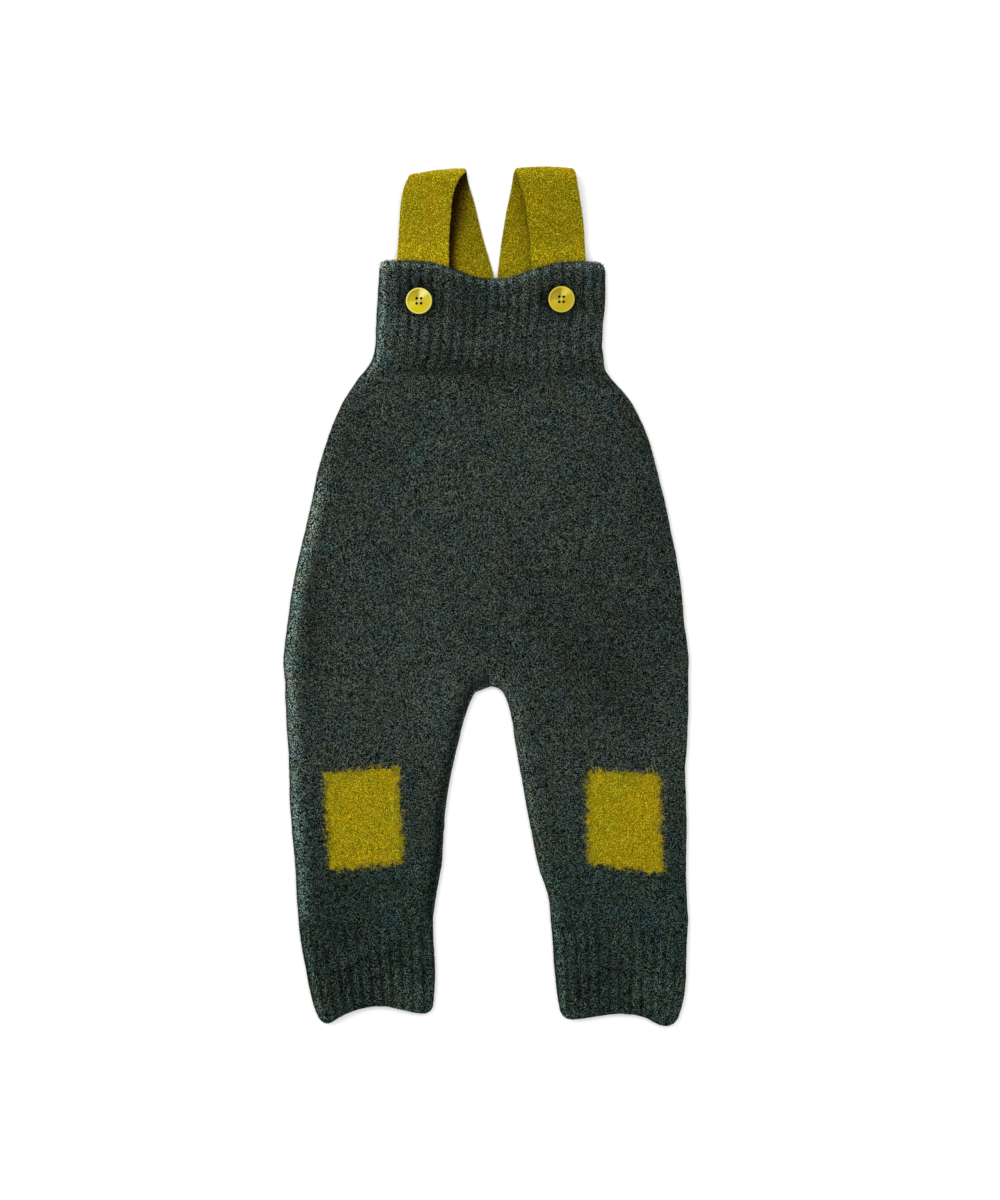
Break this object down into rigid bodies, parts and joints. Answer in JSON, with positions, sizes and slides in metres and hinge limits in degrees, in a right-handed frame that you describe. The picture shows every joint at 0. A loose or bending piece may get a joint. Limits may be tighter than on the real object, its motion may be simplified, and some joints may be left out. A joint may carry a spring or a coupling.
{
  "type": "baby romper",
  "caption": "Felted-knit baby dungaree romper laid flat, with ribbed bib, ribbed ankle cuffs, button-on shoulder straps and coloured knee fields.",
  "frame": {"origin": "middle of the garment's box, on the surface that it lies on", "axes": "+Y up the garment, from the hems to the straps; +Z out of the surface it lies on, towards its front; +X to the right of someone looking down on its front"},
  "size_m": [0.263, 0.5572, 0.013],
  "materials": {
    "green_wool": "felted wool knit, dark green melange, matt and fuzzy",
    "mustard_wool": "felted wool knit, mustard melange, matt and fuzzy",
    "button": "polished horn-like yellow"
  },
  "bodies": {
    "root": {"front_body": "green_wool", "back_body": "green_wool", "bib_front": "green_wool", "bib_back": "green_wool", "cuff_left": "green_wool", "cuff_right": "green_wool", "strap_left": "mustard_wool", "strap_right": "mustard_wool", "button_left": "button", "button_right": "button"}
  },
  "joints": []
}
